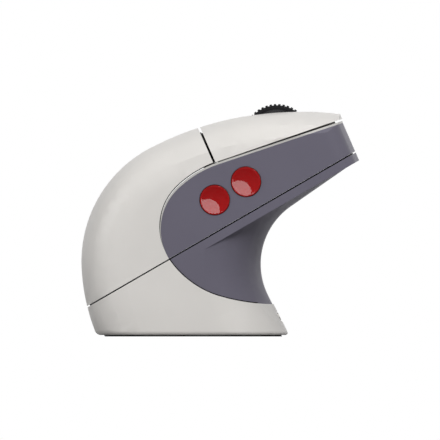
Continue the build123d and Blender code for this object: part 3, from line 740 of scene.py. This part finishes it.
# Each lip has its ends along the deck, its height, its distance from the middle and its turn inwards
LIPS = {"frame_lip": (-26.0, 24.3, 1.6, 22.1, radians(9.4)), "rear_lip": (-31.5, -26.0, 1.3, 27.0, 0.0)}
for name, (start, end, high, across, turn) in LIPS.items():
    for side, sign in SIDES.items():
        bpy.ops.mesh.primitive_plane_add(size=1.0)
        lip = bpy.context.object
        lip.name = f"{side}_{name}"
        edit(lip)
        bpy.ops.mesh.select_all(action="SELECT")
        bpy.ops.transform.resize(value=((end - start) * MM, LIP_THICK * MM, 1), center_override=(0, 0, 0))
        bpy.ops.transform.rotate(value=sign * turn, orient_axis="Z", center_override=(0, 0, 0))
        middle = ((start + end) / 2 * MM, sign * across * MM, (DECK_LEVEL - LIP_SUNK) * MM)
        bpy.ops.transform.translate(value=middle)
        bpy.ops.mesh.extrude_region_move(TRANSFORM_OT_translate={"value": (0, 0, (high + LIP_SUNK) * MM)})
        bpy.ops.mesh.select_all(action="SELECT")
        bpy.ops.mesh.bevel(offset=LIP_ROUND * MM, segments=2, affect="EDGES")
        bpy.ops.mesh.select_all(action="SELECT")
        bpy.ops.transform.rotate(value=DECK_TILT, orient_axis="Y", center_override=(0, 0, 0))
        bpy.ops.transform.translate(value=WHEEL_CENTRE)
        bpy.ops.mesh.normals_make_consistent(inside=False)
        close()
        settle(lip, rim_grey, body_of("inner_frame"))
print(len(SIDES) * len(LIPS), "lips")

# %% [markdown]
# ## Shoulders of the tyre
# The shoulders of the tyre slope off, so that its corners clear the rounded ends of the slot when the
# wheel is pressed down. A wider bevel would round every tooth away. Instead, the tyre is cut on both
# sides a little way in, and its outermost points are drawn towards the axle.

# %% Shoulders of the tyre
SHOULDER, SHOULDER_SHRINK, SHOULDER_FROM = 3.4, 0.96, 12.5  # half width, share, and radius it starts at
edit(tyre)
for sign in SIDES.values():
    bpy.ops.mesh.select_all(action="SELECT")
    bpy.ops.mesh.bisect(plane_co=(0, sign * SHOULDER * MM, 0), plane_no=(0, 1, 0))
close()
mesh = edit(tyre, "VERT")
for vertex in mesh.verts:
    reach = (vertex.co - WHEEL_CENTRE).xz.length
    vertex.select = abs(vertex.co.y) > (SHOULDER + 0.1) * MM and reach > SHOULDER_FROM * MM
mesh.select_flush_mode()
bmesh.update_edit_mesh(tyre.data)
bpy.ops.transform.resize(value=(SHOULDER_SHRINK, 1, SHOULDER_SHRINK), center_override=WHEEL_CENTRE)
close()
print("tyre", len(tyre.data.polygons), "faces")

# %% [markdown]
# ## Ridges on the power slide
# A fingertip moves this slide from below, so its face has ridges across the way it goes. They could be
# bars laid on the key, but a moulded key is one piece: its underside is cut into strips, and every
# other strip is drawn out.

# %% Ridges on the power slide
RIDGES, RIDGE_HIGH, RIDGE_PITCH, RIDGE_EDGE = 4, 0.15, 0.8, 0.08
KEY_FACE = 2.0  # square millimetres; the underside of a key is larger


def underneath(face, above=0.0):
    return face.normal.z < -0.99 and face.calc_area() > above * MM * MM


def every_other(face):
    strip = (face.calc_center_median().x - centre.x) / (RIDGE_PITCH / 2 * MM)
    return underneath(face) and abs(strip) < RIDGES and int(strip + 100) % 2 == 0


centre = sum((v.co for v in power_key.data.vertices), Vector()) / len(power_key.data.vertices)
pick(edit(power_key), lambda face: underneath(face, KEY_FACE))
for step in range(-RIDGES, RIDGES + 1):
    cut = centre + Vector((step * RIDGE_PITCH / 2 * MM, 0, 0))
    bpy.ops.mesh.bisect(plane_co=cut, plane_no=(1, 0, 0))
    mesh = bmesh.from_edit_mesh(power_key.data)
    pick(mesh, underneath)
pick(mesh, every_other)
bpy.ops.mesh.inset(thickness=RIDGE_EDGE * MM, use_individual=True)
bpy.ops.mesh.extrude_region_move(TRANSFORM_OT_translate={"value": (0, 0, -RIDGE_HIGH * MM)})
close()
print("slide", len(power_key.data.polygons), "faces")

# %% [markdown]
# ## Dish in the mode key
# The mode key is pressed, not slid, so it has a shallow dish that centres the fingertip. A ball could
# be cut out of it, but two small steps inwards read the same at this size and need no boolean.

# %% Dish in the mode key
DISH_EDGE, DISH_STEP, DISH_SHRINK = 0.5, 0.1, 0.8
pick(edit(mode_key), lambda face: underneath(face, KEY_FACE))
bpy.ops.mesh.inset(thickness=DISH_EDGE * MM)
for _ in range(2):
    bpy.ops.mesh.extrude_region_move(TRANSFORM_OT_translate={"value": (0, 0, DISH_STEP * MM)})
    bpy.ops.transform.resize(value=(DISH_SHRINK, DISH_SHRINK, 1))
close()
print("mode key", len(mode_key.data.polygons), "faces")

# %% [markdown]
# ## Crosses in the screws
# The screws that close the mouse have a cross for the driver. Insetting a cross into a round head takes
# many small faces, and a boolean with two crossed bars gives the same recess at once.

# %% Crosses in the screws
CROSS_LONG, CROSS_WIDE, CROSS_DEEP = 1.9, 0.55, 0.7
SAME_LEVEL = 0.05 * MM  # faces within this of each other belong together
flats = [face.calc_center_median() for face in edit(sole_screws).faces if underneath(face)]
lowest = min(flat.z for flat in flats)
heads = [flat for flat in flats if flat.z < lowest + SAME_LEVEL]
close()
bars = []
for head in heads:
    for long, wide in ((CROSS_LONG, CROSS_WIDE), (CROSS_WIDE, CROSS_LONG)):
        bpy.ops.mesh.primitive_cube_add(size=1.0)
        bars.append(bpy.context.object)
        edit(bars[-1])
        bpy.ops.mesh.select_all(action="SELECT")
        bpy.ops.transform.resize(value=(long * MM, wide * MM, 2 * CROSS_DEEP * MM), center_override=(0, 0, 0))
        bpy.ops.transform.translate(value=head)
        close()
for bar in bars:
    carve = sole_screws.modifiers.new("cross", "BOOLEAN")
    carve.object, carve.operation, carve.solver = bar, "DIFFERENCE", "EXACT"
apply_all(sole_screws)
alone(*bars)
bpy.ops.object.delete()
print(len(heads), "screws,", len(sole_screws.data.polygons), "faces")

# %% [markdown]
# ## Mouth of the socket
# The wall of the base leans, and the steel shell of the socket is trimmed to its slope, so that neither
# edge stands proud. Its front face is drawn out to the wall and turned to the wall's lean, which keeps
# the opening that the CAD model gave it.

# %% Mouth of the socket
WALL_LEAN, MOUTH_OUT, MOUTH_LEVEL = radians(24.5), 0.7, 8.0
mesh = edit(usb_shell)
front = max(v.co.x for v in mesh.verts)
pick(mesh, lambda face: face.normal.x > 0.99 and face.calc_center_median().x > front - SAME_LEVEL)
middle = Vector((front + MOUTH_OUT * MM, 0, MOUTH_LEVEL * MM))
bpy.ops.mesh.extrude_region_move(TRANSFORM_OT_translate={"value": (MOUTH_OUT * MM, 0, 0)})
bpy.ops.transform.rotate(value=WALL_LEAN, orient_axis="Y", center_override=middle)
close()
print("socket reaches x", round(max(v.co.x for v in usb_shell.data.vertices) / MM, 2))

# %% [markdown]
# ## Floor and backdrop
# A studio sweep is white paper that curves up behind the object. A flat floor and a white world do the
# same for this view. If the paper were truly white, it would light the mouse from below, so only the
# rays that reach the camera, or pass by glass or a mirror, see it pale; the rays that carry light about
# find it grey, and the world nearly dark.

# %% Floor and backdrop
FLOOR_SIZE, FLOOR_LEVEL = 2.4, -0.00005  # metres, just under the glides
AMBIENT = 0.01
bpy.ops.mesh.primitive_plane_add(size=1.0, location=(0, 0, FLOOR_LEVEL))
floor = bpy.context.object
floor.name = "floor"
floor.scale = (FLOOR_SIZE, FLOOR_SIZE, 1.0)
bpy.ops.object.transform_apply(location=True, rotation=True, scale=True)


def lit_rays():
    """1 for rays from the camera, a mirror or glass, and 0 for the rays that carry light about."""
    ray = Shade.node("ShaderNodeLightPath").socket.node
    seen, mirrored, through = [Shade(ray.outputs[f"Is {kind} Ray"])
                               for kind in ("Camera", "Glossy", "Transmission")]
    count = seen + mirrored + through
    return count.math("MINIMUM", count, 1.0)


begin("pale_floor")
paper = blend_colour(lit_rays(), (0.30, 0.30, 0.30, 1.0), (0.86, 0.86, 0.86, 1.0))
floor.data.materials.append(finish({"Base Color": paper, "Roughness": 0.7}))
floor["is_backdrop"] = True

world = bpy.data.worlds.new("studio")
bpy.context.scene.world = world
world.use_nodes = True
Shade.tree = world.node_tree
strength = lit_rays() * (1.0 - AMBIENT) + AMBIENT
background = next(n for n in world.node_tree.nodes if n.type == "BACKGROUND")
background.inputs["Color"].default_value = (1.0, 1.0, 1.0, 1.0)
world.node_tree.links.new(strength.socket, background.inputs["Strength"])
print("floor", FLOOR_SIZE, "m wide")

# %% [markdown]
# ## Lamps
# Soft boxes give soft edges to the shadows. The strongest stands in front, beside the camera. Two more
# light the crown, one from the right and one from overhead, a fill on the left keeps the heel from going
# dark, and a low one behind shows the far side. The front and the rear one are left out of the gloss,
# where they would wash out the slate. One bright lamp would be simpler, but it would bleach the white
# shells on one side.

# %% Lamps
AIM = Vector((0, 0, 0.045))
SOFT_BOXES = {  # place and size in metres, power in watts, and whether its mirror image shows
    "front_softbox": ((-0.10, -0.85, 0.50), 0.45, 5.1, False),
    "right_softbox": ((0.45, -0.55, 0.70), 0.45, 2.2, True),
    "overhead_softbox": ((0.35, -0.10, 0.88), 0.45, 2.4, True),
    "left_fill": ((-0.80, -0.30, 0.40), 0.50, 1.9, True),
    "rear_fill": ((0.10, 0.90, 0.18), 0.50, 2.4, False),
}


def lamp(name, spot, size, power, shape="SQUARE"):
    """A lamp that faces the mouse."""
    data = bpy.data.lights.new(name, "AREA")
    data.shape, data.size, data.energy = shape, size, power
    made = bpy.data.objects.new(name, data)
    bpy.context.collection.objects.link(made)
    made.location = spot
    made.rotation_euler = (AIM - Vector(spot)).to_track_quat("-Z", "Y").to_euler()
    print(name, "power", power)
    return made


for name, (spot, size, power, mirrored) in SOFT_BOXES.items():
    lamp(name, spot, size, power).visible_glossy = mirrored

# %% [markdown]
# ## Round reflector
# The crescents in the red dishes are the mirror image of a large round lamp beside the camera. As a lamp
# for everything it would flatten the shells, so it is linked to the four thumb caps alone, and is seen
# only in their gloss.

# %% Round reflector
reflector = lamp("round_reflector", (0.27, -0.73, 0.49), 1.14, 50.0, "DISK")
reflector.visible_diffuse = False
polished_caps = bpy.data.collections.new("polished_caps")
for cap in thumb_caps:
    polished_caps.objects.link(cap)
reflector.light_linking.receiver_collection = polished_caps

# %% [markdown]
# ## Sizes
# What was added has to stay inside the box of the CAD model, because the sizes of the part come from
# there. The box of all that is shown is measured and printed.

# %% Sizes
low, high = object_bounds()
print("visual box", [round(v * 1000, 2) for v in high - low], "mm")
